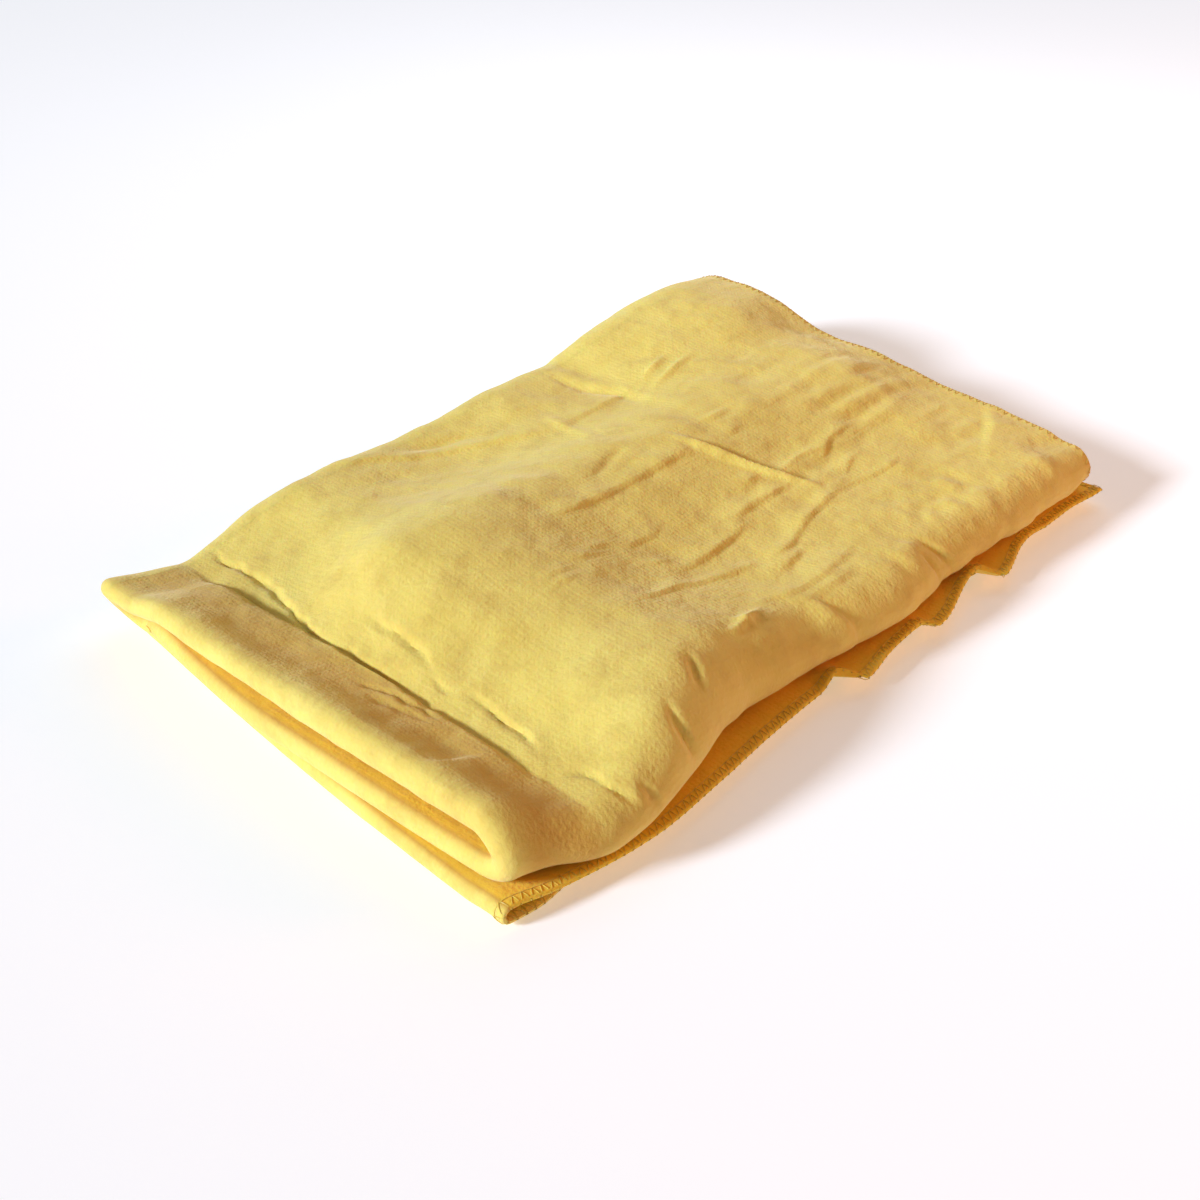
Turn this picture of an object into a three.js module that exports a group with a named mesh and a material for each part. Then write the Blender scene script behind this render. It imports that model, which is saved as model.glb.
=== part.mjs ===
import * as THREE from "three";

// A chamois cloth doubled end to end and then rolled up in thirds, lying flat on z = 0.
// Sizes are in millimetres. +X runs from the smooth near fold to the far cut edges,
// +Y from the side with the open cut edge to the side of the hidden fold, and +Z is up.

// The cloth
const CLOTH = 1.5; // thickness of one ply
const PLY_GAP = 1.8; // air between the two plies of the doubled cloth
const LAYER_GAP = 1.0; // air between one third and the next
const SEAM_GAP = 0.4; // slit that parts a fold from the panels beside it

// The folded pack
const PACK_LENGTH = 250; // near fold to far cut edges
const LEFT_SIDE = 80; // outside of the fold that joins the bottom to the top
const WAIST = 3.2; // how far that fold is drawn in behind the lip
const WAIST_AT = -101;
const WAIST_SPREAD = 16;
const RIGHT_SIDE = -81; // outside of the fold that joins the top to the tucked third
const RIGHT_SAG = 0.55; // how much fuller that fold is low down
const BULGE = 10.3; // how far it swells beside the hump
const BULGE_FROM = -98;
const BULGE_TO = -92;
const BULGE_END = -40;
const SWELL = 4.5; // a smaller swelling in its middle
const SWELL_AT = 22;
const SWELL_SPREAD = 24;
const FLARE = 3.2; // how far it widens towards the far end
const FLARE_FROM = 30;
const FLARE_TO = 90;
const CUT_SIDE = -84.5; // open cut edge of the bottom third
const CUT_BULGE = 5.4; // how far that edge is pushed out beside the hump
const CUT_BULGE_AT = -85;
const CUT_BULGE_SPREAD = 42;
const CUT_DRAW = 1; // how far it is drawn in at the near corner and before the far corner
const DRAW_NEAR = [-116, -127]; // where it is drawn in
const DRAW_FAR = [70, 95];
const CUT_CORNER = 1.5; // how far it comes out again at the far corner
const FAR_TIP = 6.5; // how far the far end stands out at that edge
const TUCK_END = 60; // cut edge of the tucked third

// The near folds: how far they stand out or are drawn in at their ends, and how far they bow out
const BOTTOM_OUT = 3.2;
const BOTTOM_IN = 8.6;
const BOTTOM_BOW = 2;
const TOP_OUT = 0.3;
const TOP_BOW = 1.5;
const TUCK_OUT = 1.5;
const TUCK_IN = 6;
const LIP_LEFT = 2.3; // roundness of the top's near fold at its left and right ends
const LIP_RIGHT = 3.9;
const TUCK_RIM = 2.7; // roundness of the other thirds' near folds
const RIM_RADIUS = 2.1;
const RIM_GAP = 0.35; // air between the near folds of the bottom and the tucked third
const TUCK_EDGE = 0.8; // how far the tucked cut edge is lifted over the bottom's near fold

// The soft shape of the top
const LIP_TOP = 9.2; // height of the lip's rim over the middle of the valley
const LIP_LENGTH = 21;
const LIP_SINK = 0.4; // share of the lip that is lost at the left fold
const VALLEY_LEFT = 0.9; // loft of the dip behind the lip, over the flattest stack
const VALLEY_RIGHT = 3.0;
const VALLEY_DROP = 1.2; // how far it sinks at the left fold
const FAR_LOFT = 16.5; // loft of the far half
const FAR_FALL = 10.0; // how much lower the far half is on the right
const END_DROOP = 4.5; // how far the top sinks at the far cut edges
const END_RUN = 30; // length of that sinking
const LEFT_CORNER = 5; // how much higher the far left corner is
const CORNER_FROM = 60;
const CORNER_TO = 103;
const LEFT_DIP = 10; // how much lower the left side is before the far half
const DIP_FROM = 26;
const DIP_TO = 76;
const LEFT_PUFF = 3.4; // small swelling in the middle of that side
const PUFF_AT = 20;
const PUFF_SPREAD = 20;
const NOTCH = 1.5; // the notch after it
const NOTCH_AT = 47;
const NOTCH_SPREAD = 6;
const HUMP = 6.4; // height of the hump over the far half
const HUMP_TILT = 3.9; // how much taller the hump is on the right
const HUMP_AT = -56;
const HUMP_SPREAD = 30;
const FOOT_FROM = -106; // where the hump starts to rise, and where it has risen
const FOOT_TO = -73;
const FOOT_FROM_LEFT = -100;
const FOOT_TO_LEFT = -58;
const TUCK_SHARE = 0.4; // share of the top's loft that the tucked third follows

// The frilled cut edge
const FRILL = 2.0; // height of its waves
const FRILL_SWAY = 5.2; // how far its low parts reach out
const FRILL_REACH = 0.05; // share of the bottom third that they run in to
const FRILL_PITCH = 34; // length of one wave
const FRILL_START = -2; // where one wave starts
const FRILL_CREST = 0.84; // share of a wave at which it stands up, before it drops and reaches out
const FRILL_FROM = [-16, -6]; // where the waves set in
const FRILL_TO = [62, 104]; // where they fade out
const LOW_WAVE_AT = 22; // one wave is half as high
const LOW_WAVE_SPREAD = 14;
const CORNER_RUN = [112, 128]; // where the edge comes out at the far corner

// The overlock stitching
const THREAD = 0.4; // thickness of the thread layer
const THREAD_GAP = 0.35; // air between the thread and the cloth
const STITCH_DEPTH = 2.8; // reach of the stitches in from the cut edge
const OUTER_TRIM = 0.7; // how far the plies end short of the pack's length
const INNER_TRIM = 2.2;
const EDGE_ROOM = 0.2; // air under the stitching

const NEAR_X = -PACK_LENGTH / 2;
const FAR_X = PACK_LENGTH / 2;
const HALF_PLY = (CLOTH + PLY_GAP) / 2;
const DOUBLED = 2 * HALF_PLY + CLOTH;
const BOTTOM_Z = DOUBLED / 2;
const TUCK_Z = BOTTOM_Z + DOUBLED + LAYER_GAP;
const TOP_Z = TUCK_Z + DOUBLED + LAYER_GAP;
const EDGE_LIFT = THREAD + THREAD_GAP + EDGE_ROOM;

const cloth = new THREE.MeshStandardMaterial({ color: 0xe9c25a, roughness: 0.9 });
const thread = new THREE.MeshStandardMaterial({ color: 0xd8b23c, roughness: 0.6 });

// A ramp from 0 at a to 1 at b, level at both ends.
function ramp(a, b, v) {
  const t = Math.min(1, Math.max(0, (v - a) / (b - a)));
  return t * t * (3 - 2 * t);
}

// A bump of height 1 at a centre.
function bump(v, centre, spread) {
  return Math.exp(-(((v - centre) / spread) ** 2));
}

function mix(a, b, t) {
  return a + (b - a) * t;
}

// Loft of the top third over the flattest stack: q is 1 at the left fold and -1 at the right.
function topLoft(x, q) {
  const left = ramp(0.3, 1, q);
  const valley = mix(VALLEY_RIGHT, VALLEY_LEFT, (1 + q) / 2) - VALLEY_DROP * ramp(0.93, 1, q);
  const corner = LEFT_CORNER * ramp(0.55, 1, q) * ramp(CORNER_FROM, CORNER_TO, x);
  const far = FAR_LOFT - FAR_FALL * ramp(0.25, -1, q) + corner;
  const ends = 0.3 * ramp(-0.975, -1, q) - 0.25 * left;
  const uneven = 0.45 * bump(q, 0.35, 0.6) - 0.85 * bump(q, -0.8, 0.35) + ends;
  const droop = END_DROOP * (1 + uneven) * ramp(FAR_X - END_RUN, FAR_X + 2, x);
  const puff = LEFT_PUFF * bump(x, PUFF_AT, PUFF_SPREAD) - NOTCH * bump(x, NOTCH_AT, NOTCH_SPREAD);
  const dip = ramp(0.2, 1, q) * (LEFT_DIP * (1 - ramp(DIP_FROM, DIP_TO, x)) - puff);
  const hump = (HUMP - HUMP_TILT * q) * bump(x, HUMP_AT, HUMP_SPREAD);
  const rise = ramp(mix(FOOT_FROM, FOOT_FROM_LEFT, left), mix(FOOT_TO, FOOT_TO_LEFT, left), x);
  return valley + (far - droop - dip + hump - valley) * rise;
}

// Roundness of the top's near fold, from the left end of the lip to its right end.
function lipRadius(q) {
  return mix(LIP_RIGHT, LIP_LEFT, (1 + q) / 2);
}

// The loft on the stack, plus the lip, whose back falls straight to the valley.
function topHeight(x, q) {
  const side = 1 - LIP_SINK * ramp(0.85, 1, q);
  const back = Math.min(1, Math.max(0, (x - NEAR_X - LIP_LEFT) / LIP_LENGTH));
  return TOP_Z + topLoft(x, q) + (LIP_TOP - lipRadius(q)) * side * (1 - back);
}

// The tucked third follows the top in part: s is 0 at its fold and 1 at its cut edge.
function tuckHeight(x, s) {
  const lift = 2 * RIM_RADIUS + TUCK_RIM - 3 * HALF_PLY - LAYER_GAP + RIM_GAP;
  const rim = lift * bump(x, NEAR_X - 1, 16);
  const side = TUCK_EDGE * ramp(0.8, 1, s) * (1 - ramp(NEAR_X + 14, NEAR_X + 30, x));
  const edge = 2 * EDGE_LIFT * ramp(FAR_X - 14, FAR_X - 3, x) + side;
  const loft = topLoft(x, -Math.cos(0.9 * Math.PI * s));
  const follow = TUCK_SHARE * loft * ramp(0, 0.5, s) * ramp(FAR_X, FAR_X - 40, x);
  return TUCK_Z + rim + edge + follow * (1 - 0.5 * ramp(0.6, 1, s));
}

// Waves of the open cut edge: 0 where it lies down and reaches out, 1 where it stands up.
function wave(x) {
  const turns = (x - FRILL_START) / FRILL_PITCH;
  const t = turns - Math.floor(turns);
  const low = 1 - 0.5 * bump(x, LOW_WAVE_AT, LOW_WAVE_SPREAD);
  return ramp(0, FRILL_CREST, t) * ramp(1, FRILL_CREST, t) * low;
}

function frillStrength(x) {
  return ramp(...FRILL_FROM, x) * (1 - ramp(...FRILL_TO, x));
}

// Near fold of the bottom third, which reaches out furthest below the front corner.
function bottomNear(s) {
  return mix(NEAR_X - BOTTOM_OUT, NEAR_X + BOTTOM_IN, s) - BOTTOM_BOW * Math.sin(Math.PI * s);
}

// Near fold of the tucked third, which stands out in its middle and is drawn in at its edge.
function tuckNear(s) {
  const out = mix(NEAR_X + TOP_OUT, NEAR_X - TUCK_OUT, s) - TOP_BOW * Math.sin(Math.PI * s);
  return out + TUCK_IN * ramp(0.55, 1.1, s);
}

// The bottom third lies on the table: s is 0 at its open cut edge and 1 at the left fold.
function bottomHeight(x, s) {
  const edge = EDGE_LIFT * Math.max(ramp(0.09, 0.03, s), ramp(FAR_X - 14, FAR_X - 3, x));
  const puff = halfSpacing(x, bottomNear(s), RIM_RADIUS) - HALF_PLY;
  const rise = FRILL * frillStrength(x) * wave(x);
  return BOTTOM_Z + puff + edge + rise * Math.max(0, 1 - s / FRILL_REACH) ** 1.6;
}

// Half the distance between the two plies, widening to the round near fold.
function halfSpacing(x, nearX, radius) {
  return mix(radius, HALF_PLY, ramp(nearX + radius, nearX + radius + 13, x));
}

// Outside of the right fold, and the open cut edge below it, along the pack.
function rightSide(x) {
  const bulge = BULGE * ramp(NEAR_X + 1, BULGE_FROM, x) * (1 - ramp(BULGE_TO, BULGE_END, x));
  const swell = SWELL * bump(x, SWELL_AT, SWELL_SPREAD);
  return RIGHT_SIDE - bulge - swell - FLARE * ramp(FLARE_FROM, FLARE_TO, x);
}

function cutSide(x) {
  const reach = FRILL_SWAY * frillStrength(x) * (1 - wave(x));
  const draw = CUT_DRAW * (ramp(...DRAW_NEAR, x) + ramp(...DRAW_FAR, x));
  const bulge = CUT_BULGE * bump(x, CUT_BULGE_AT, CUT_BULGE_SPREAD);
  return CUT_SIDE - bulge - reach + draw - CUT_CORNER * ramp(...CORNER_RUN, x);
}

// Mid-line of each stretch of the roll at a station x: y and z for a share s of the stretch.
function leftTurn(x) {
  const radius = (topHeight(x, 1) - bottomHeight(x, 1)) / 2;
  const waist = WAIST * bump(x, WAIST_AT, WAIST_SPREAD);
  return { radius, y: LEFT_SIDE - waist - radius - DOUBLED / 2 };
}

function rightTurn(x) {
  const radius = (topHeight(x, -1) - tuckHeight(x, 0)) / 2;
  return { radius, y: rightSide(x) + radius + DOUBLED / 2 };
}

const stretches = {
  bottom: {
    line: (s, x) => [mix(cutSide(x), leftTurn(x).y, s), bottomHeight(x, s)],
    near: bottomNear,
    far: (s) => FAR_TIP * ramp(0.3, 0, s),
    radius: () => RIM_RADIUS,
  },
  leftFold: {
    line: (s, x) => {
      const turn = leftTurn(x);
      const a = Math.PI * (s - 0.5);
      const z = bottomHeight(x, 1) + turn.radius;
      return [turn.y + turn.radius * Math.cos(a), z + turn.radius * Math.sin(a)];
    },
    near: (s) => mix(NEAR_X + BOTTOM_IN, NEAR_X - TOP_OUT, ramp(0, 1, s)),
    radius: (s) => mix(RIM_RADIUS, LIP_LEFT, ramp(0, 1, s)),
  },
  top: {
    line: (s, x) => {
      const y = mix(leftTurn(x).y, rightTurn(x).y, s);
      return [y, topHeight(x, Math.cos(Math.PI * s))];
    },
    near: (s) => mix(NEAR_X - TOP_OUT, NEAR_X + TOP_OUT, s) - TOP_BOW * Math.sin(Math.PI * s),
    radius: (s) => lipRadius(Math.cos(Math.PI * s)),
  },
  rightFold: {
    line: (s, x) => {
      const turn = rightTurn(x);
      const a = Math.PI * (s - 0.5);
      const z = topHeight(x, -1) - turn.radius;
      const sag = 1 + (RIGHT_SAG * (1 + Math.sin(a))) / 2;
      return [turn.y - turn.radius * sag * Math.cos(a), z - turn.radius * Math.sin(a)];
    },
    near: () => NEAR_X + TOP_OUT,
    radius: (s) => mix(LIP_RIGHT, TUCK_RIM, ramp(0, 1, s)),
  },
  tuck: {
    line: (s, x) => [mix(rightTurn(x).y, TUCK_END, s), tuckHeight(x, s)],
    near: tuckNear,
    radius: (s) => mix(TUCK_RIM, RIM_RADIUS, ramp(0.6, 1, s)),
  },
};

function midPoint(stretch, s, x) {
  const [y, z] = stretch.line(s, x);
  return new THREE.Vector3(x, y, z);
}

// Normal of the doubled cloth's middle, pointing out of the roll.
function midNormal(stretch, s, x) {
  const e = 1e-3;
  const across = midPoint(stretch, s + e, x).sub(midPoint(stretch, s - e, x));
  const along = midPoint(stretch, s, x + 0.05).sub(midPoint(stretch, s, x - 0.05));
  return across.cross(along).normalize();
}

// Stations along the outer ply from the far edge to the near fold, around the fold, and back
// along the inner ply. Each is the side it lies on, and either a share of the length or an angle.
const LENGTH_SHARES = [0, 0.02, 0.055];
for (let i = 1; i <= 21; i++) {
  LENGTH_SHARES.push(0.055 + (0.75 * i) / 21);
}
for (let i = 1; i <= 7; i++) {
  LENGTH_SHARES.push(0.805 + (0.195 * i) / 7);
}
const TURN_STEPS = 4;
const stations = [];
for (const share of LENGTH_SHARES) {
  stations.push({ side: 1, share });
}
for (let i = 1; i < TURN_STEPS; i++) {
  stations.push({ side: 0, angle: (Math.PI * i) / TURN_STEPS });
}
for (const share of [...LENGTH_SHARES].reverse()) {
  stations.push({ side: -1, share });
}

// Far cut edge of a ply: the inner ply ends a little short of the outer one.
function farEdge(stretch, side, s) {
  const longer = stretch.far ? stretch.far(s) : 0;
  return FAR_X + longer - (side > 0 ? OUTER_TRIM : INNER_TRIM);
}

// A point of the doubled cloth: depth is measured outwards from the middle of the ply.
function clothPoint(stretch, station, s, depth) {
  const near = stretch.near(s);
  const radius = stretch.radius(s);
  const turn = near + radius;
  let x = turn;
  let offset = 0;
  if (station.side === 0) {
    x = turn - (radius + depth) * Math.sin(station.angle);
    offset = (radius + depth) * Math.cos(station.angle);
  } else {
    x = mix(farEdge(stretch, station.side, s), turn, station.share);
    offset = station.side * (halfSpacing(x, near, radius) + depth);
  }
  return midPoint(stretch, s, x).addScaledVector(midNormal(stretch, s, x), offset);
}

// A closed mesh from points and triangles, turned so that its faces look out.
function closedMesh(name, positions, faces, material) {
  let volume = 0;
  for (const [a, b, c] of faces) {
    volume += positions[a].dot(positions[b].clone().cross(positions[c]));
  }
  const index = [];
  for (const [a, b, c] of faces) {
    index.push(a, volume > 0 ? b : c, volume > 0 ? c : b);
  }
  const geometry = new THREE.BufferGeometry();
  geometry.setFromPoints(positions);
  geometry.setIndex(index);
  geometry.computeVertexNormals();
  const mesh = new THREE.Mesh(geometry, material);
  mesh.name = name;
  return mesh;
}

// One stretch of the doubled cloth: both plies and the round near fold in one piece.
function doubledCloth(name, stretch, shares) {
  const rows = stations.length;
  const columns = shares.length;
  const positions = [];
  for (const depth of [CLOTH / 2, -CLOTH / 2]) {
    for (const station of stations) {
      for (const s of shares) {
        positions.push(clothPoint(stretch, station, s, depth));
      }
    }
  }
  const shell = rows * columns;
  const at = (k, i, j) => k * shell + i * columns + j;
  const faces = [];
  const quad = (a, b, c, d) => {
    faces.push([a, b, c], [a, c, d]);
  };
  for (let i = 0; i + 1 < rows; i++) {
    for (let j = 0; j + 1 < columns; j++) {
      quad(at(0, i, j), at(0, i + 1, j), at(0, i + 1, j + 1), at(0, i, j + 1));
      quad(at(1, i, j), at(1, i, j + 1), at(1, i + 1, j + 1), at(1, i + 1, j));
    }
    const last = columns - 1;
    quad(at(0, i, 0), at(1, i, 0), at(1, i + 1, 0), at(0, i + 1, 0));
    quad(at(0, i, last), at(0, i + 1, last), at(1, i + 1, last), at(1, i, last));
  }
  for (let j = 0; j + 1 < columns; j++) {
    const last = rows - 1;
    quad(at(0, 0, j), at(0, 0, j + 1), at(1, 0, j + 1), at(1, 0, j));
    quad(at(0, last, j), at(1, last, j), at(1, last, j + 1), at(0, last, j + 1));
  }
  return closedMesh(name, positions, faces, cloth);
}

// Section of the overlock stitching: a channel over the cut edge, out along e and up along n.
function stitchSection() {
  const inner = CLOTH / 2 + THREAD_GAP;
  const outer = inner + THREAD;
  const web = THREAD_GAP + THREAD;
  return [
    [-STITCH_DEPTH, outer],
    [web, outer],
    [web, -outer],
    [-STITCH_DEPTH, -outer],
    [-STITCH_DEPTH, -inner],
    [THREAD_GAP, -inner],
    [THREAD_GAP, inner],
    [-STITCH_DEPTH, inner],
  ];
}

// Triangles that close an end of the channel: two for each wall, between its outer and inner corners.
function capTriangles(ring) {
  const triangles = [];
  for (let i = 0; i + 1 < ring / 2; i++) {
    triangles.push([i, i + 1, ring - 1 - i], [i + 1, ring - 2 - i, ring - 1 - i]);
  }
  return triangles;
}

// Stitching swept along a cut edge: each frame is a point of the edge with its e and n.
function stitching(name, frames) {
  const section = stitchSection();
  const ring = section.length;
  const positions = [];
  for (const frame of frames) {
    for (const [e, n] of section) {
      const p = frame.p.clone().addScaledVector(frame.e, e).addScaledVector(frame.n, n);
      positions.push(p);
    }
  }
  const faces = [];
  for (let i = 0; i + 1 < frames.length; i++) {
    for (let j = 0; j < ring; j++) {
      const k = (j + 1) % ring;
      const [a, b] = [i * ring + j, i * ring + k];
      const [c, d] = [b + ring, a + ring];
      // Split along the same diagonal as the cloth below, from the outer to the inner side.
      if (section[j][0] >= section[k][0]) {
        faces.push([a, b, c], [a, c, d]);
      } else {
        faces.push([a, b, d], [b, c, d]);
      }
    }
  }
  const last = (frames.length - 1) * ring;
  for (const [a, b, c] of capTriangles(ring)) {
    faces.push([a, c, b]);
    faces.push([last + a, last + b, last + c]);
  }
  return closedMesh(name, positions, faces, thread);
}

// The direction out of the cloth at an edge, and the ply's normal made square to it.
function edgeFrame(p, inward, n) {
  const e = p.clone().sub(inward).normalize();
  n.addScaledVector(e, -n.dot(e));
  return { p, e, n: n.normalize() };
}

// Stitching along the side edge of a stretch, around the near fold and back.
function sideStitching(name, stretch, edge, inside) {
  const frames = stations.slice(1, -1).map((station) => {
    const p = clothPoint(stretch, station, edge, 0);
    const n = clothPoint(stretch, station, edge, 0.5).sub(p).normalize();
    return edgeFrame(p, clothPoint(stretch, station, inside, 0), n);
  });
  return stitching(name, frames);
}

// Stitching along the far edge of one ply of a stretch.
function farStitching(name, stretch, shares, side) {
  const first = { side, share: 0 };
  const second = { side, share: LENGTH_SHARES[1] };
  const frames = shares.map((s) => {
    const p = clothPoint(stretch, first, s, 0);
    const n = clothPoint(stretch, first, s, 0.5).sub(p).normalize();
    return edgeFrame(p, clothPoint(stretch, second, s, 0), n);
  });
  return stitching(name, frames);
}

// Shares along a stretch, pulled in at the ends that meet a neighbour.
function evenShares(steps, slitStart, slitEnd) {
  const shares = [];
  for (let i = 0; i <= steps; i++) {
    shares.push(mix(slitStart, 1 - slitEnd, i / steps));
  }
  return shares;
}

const slit = SEAM_GAP / 2 / 140; // half a slit as a share of a panel
const bend = SEAM_GAP / 2 / 16; // half a slit as a share of a fold
const bottomShares = [0, 0.026, 0.042, 0.065, 0.2, 0.5, 1 - slit];
const topShares = evenShares(8, slit, slit);
const tuckShares = [slit, 0.12, 0.35, 0.7, 1];
const foldShares = evenShares(4, bend, bend);

const part = new THREE.Group();
part.name = "chamois_cloth";
part.add(
  doubledCloth("bottom_panel", stretches.bottom, bottomShares),
  sideStitching("bottom_side_stitching", stretches.bottom, 0, bottomShares[1]),
  farStitching("bottom_end_stitching_outer", stretches.bottom, bottomShares, 1),
  farStitching("bottom_end_stitching_inner", stretches.bottom, bottomShares, -1),
  doubledCloth("left_fold", stretches.leftFold, foldShares),
  farStitching("left_fold_stitching_outer", stretches.leftFold, foldShares, 1),
  farStitching("left_fold_stitching_inner", stretches.leftFold, foldShares, -1),
  doubledCloth("top_panel", stretches.top, topShares),
  farStitching("top_end_stitching_outer", stretches.top, topShares, 1),
  farStitching("top_end_stitching_inner", stretches.top, topShares, -1),
  doubledCloth("right_fold", stretches.rightFold, foldShares),
  farStitching("right_fold_stitching_outer", stretches.rightFold, foldShares, 1),
  farStitching("right_fold_stitching_inner", stretches.rightFold, foldShares, -1),
  doubledCloth("tucked_panel", stretches.tuck, tuckShares),
  sideStitching("tucked_side_stitching", stretches.tuck, 1, tuckShares[3]),
  farStitching("tucked_end_stitching_outer", stretches.tuck, tuckShares, 1),
  farStitching("tucked_end_stitching_inner", stretches.tuck, tuckShares, -1),
);

// The frame's origin is under the middle of the pack.
const box = new THREE.Box3().setFromObject(part);
for (const mesh of part.children) {
  mesh.geometry.translate(-(box.min.x + box.max.x) / 2, -(box.min.y + box.max.y) / 2, -box.min.z);
}

export default part;
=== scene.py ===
# %% [markdown]
# A synthetic chamois: one square of soft, spongy cloth with an overlocked edge. It was doubled
# end to end, which gives the smooth round rims at the near end, and then rolled up in thirds:
# the bottom third, over it the tucked third, and the top third that covers both.
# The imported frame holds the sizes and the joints. This lesson dresses it: the cloth becomes
# fine shells of its real thickness, with the creases and dents of the photograph.

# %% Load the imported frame
import math

import bpy
import numpy as np
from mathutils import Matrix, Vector


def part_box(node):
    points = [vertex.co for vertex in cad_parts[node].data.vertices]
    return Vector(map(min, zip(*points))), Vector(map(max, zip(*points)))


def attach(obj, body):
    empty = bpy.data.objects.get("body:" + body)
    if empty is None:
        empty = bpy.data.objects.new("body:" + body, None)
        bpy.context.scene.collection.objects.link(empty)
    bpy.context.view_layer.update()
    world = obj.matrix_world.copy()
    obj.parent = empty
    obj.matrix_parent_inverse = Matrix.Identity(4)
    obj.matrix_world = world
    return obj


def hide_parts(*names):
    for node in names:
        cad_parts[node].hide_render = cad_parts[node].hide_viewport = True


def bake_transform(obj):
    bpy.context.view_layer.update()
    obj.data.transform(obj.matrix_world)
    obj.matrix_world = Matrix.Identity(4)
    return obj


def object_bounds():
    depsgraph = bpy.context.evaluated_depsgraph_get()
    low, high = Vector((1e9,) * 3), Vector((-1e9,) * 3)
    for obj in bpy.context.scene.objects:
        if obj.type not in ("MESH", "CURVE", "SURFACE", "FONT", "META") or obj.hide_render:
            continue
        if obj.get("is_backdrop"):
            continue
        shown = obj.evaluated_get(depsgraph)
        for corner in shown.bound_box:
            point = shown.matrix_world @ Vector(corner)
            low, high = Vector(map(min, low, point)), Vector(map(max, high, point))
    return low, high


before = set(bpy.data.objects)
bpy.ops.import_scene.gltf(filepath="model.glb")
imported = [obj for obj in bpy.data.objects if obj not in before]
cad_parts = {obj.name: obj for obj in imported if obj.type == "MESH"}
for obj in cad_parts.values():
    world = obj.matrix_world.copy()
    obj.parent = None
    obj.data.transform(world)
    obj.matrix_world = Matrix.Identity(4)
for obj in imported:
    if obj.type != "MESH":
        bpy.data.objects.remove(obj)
cad_box = [list(corner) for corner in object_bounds()]
print("CAD box in mm:", [[round(1000 * v, 1) for v in corner] for corner in cad_box])

# %% [markdown]
# The sizes of the cloth and of its pack are those of the CAD part, in millimetres. Both models
# use the same formulas, so every piece made here lies where its solid lies.

# %% The cloth and its pack
CLOTH = 1.5  # thickness of one ply
PLY_GAP = 1.8  # air between the two plies of the doubled cloth
LAYER_GAP = 1.0  # air between one third and the next
PACK_LENGTH = 250
LEFT_SIDE = 80  # outside of the fold that joins the bottom to the top
RIGHT_SIDE = -81  # outside of the fold that joins the top to the tucked third
RIGHT_SAG = 0.55  # how much fuller that fold is low down
BULGE = 10.3  # how far it swells beside the hump
SWELL = 4.5  # a smaller swelling in its middle
FLARE = 3.2  # how far it widens towards the far end
CUT_SIDE = -84.5  # open cut edge of the bottom third
CUT_BULGE = 5.4  # how far that edge is pushed out beside the hump
CUT_CORNER = 1.5  # how far it comes out at the far corner
FAR_TIP = 6.5  # how far the far end stands out at that edge
TUCK_END = 60  # cut edge of the tucked third
LIP_TOP = 9.2  # height of the lip's rim over the middle of the valley
LIP_LENGTH = 21
LIP_LEFT = 2.3  # roundness of the top's near fold at its left and right ends
LIP_RIGHT = 3.9
TUCK_RIM = 2.7  # roundness of the other thirds' near folds
RIM_RADIUS = 2.1
RIM_GAP = 0.35  # air between the near folds of the bottom and the tucked third
TUCK_EDGE = 0.8  # how far the tucked cut edge is lifted over the bottom's near fold
EDGE_LIFT = 0.95  # room for the thread under the cut edges
OUTER_TRIM = 0.7  # how far the plies end short of the pack's length
INNER_TRIM = 2.2
NEAR_X = -PACK_LENGTH / 2
FAR_X = PACK_LENGTH / 2
HALF_PLY = (CLOTH + PLY_GAP) / 2
DOUBLED = 2 * HALF_PLY + CLOTH
BOTTOM_Z = DOUBLED / 2
TUCK_Z = BOTTOM_Z + DOUBLED + LAYER_GAP
TOP_Z = TUCK_Z + DOUBLED + LAYER_GAP

# The formulas have their zero midway between the near fold and the far edges. The frame has it
# under the middle of its box, so the difference is read off two of its nodes.
SHIFT = np.array([
    1000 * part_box("bottom_panel")[1].x - (FAR_X + FAR_TIP - OUTER_TRIM),
    1000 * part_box("left_fold")[1].y - LEFT_SIDE,
    0,
])
print("frame shift in mm:", np.round(SHIFT, 3))


def framed(x, y, z):
    """A place of the formulas, in millimetres, as a place in the frame, in metres."""
    return tuple((SHIFT + (x, y, z)) / 1000)


# %% [markdown]
# The camera comes next, because every crease is judged through it. The photograph looks down
# on the corner between the smooth rims and the open cut edge. Its lens follows from the focal
# length in pixels, since Blender's sensor is as wide as the square picture.

# %% Camera
PICTURE = 1200  # pixels on each side
FOCAL_PIXELS = 1687
AZIMUTH = math.radians(-46.8)
ELEVATION = math.radians(33.9)
DISTANCE = 0.463
TARGET = Vector(framed(-30.48, -22.49, 12))
backwards = Vector((
    math.sin(AZIMUTH) * math.cos(ELEVATION),
    -math.cos(AZIMUTH) * math.cos(ELEVATION),
    math.sin(ELEVATION),
))
lens = bpy.data.cameras.new("photo_camera")
lens.sensor_width = 36
lens.lens = lens.sensor_width * FOCAL_PIXELS / PICTURE
lens.clip_start = 0.01
camera = bpy.data.objects.new("photo_camera", lens)
camera.location = TARGET + DISTANCE * backwards
camera.rotation_euler = (-backwards).to_track_quat("-Z", "Y").to_euler()
bpy.context.scene.collection.objects.link(camera)
bpy.context.scene.camera = camera
print("camera at", [round(v, 3) for v in camera.location], "lens", round(lens.lens, 2))


# %% [markdown]
# Three small functions shape everything: a ramp that is level at both ends, a round bump, and
# a mix of two values. They take whole arrays, so a surface is one expression.

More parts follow.
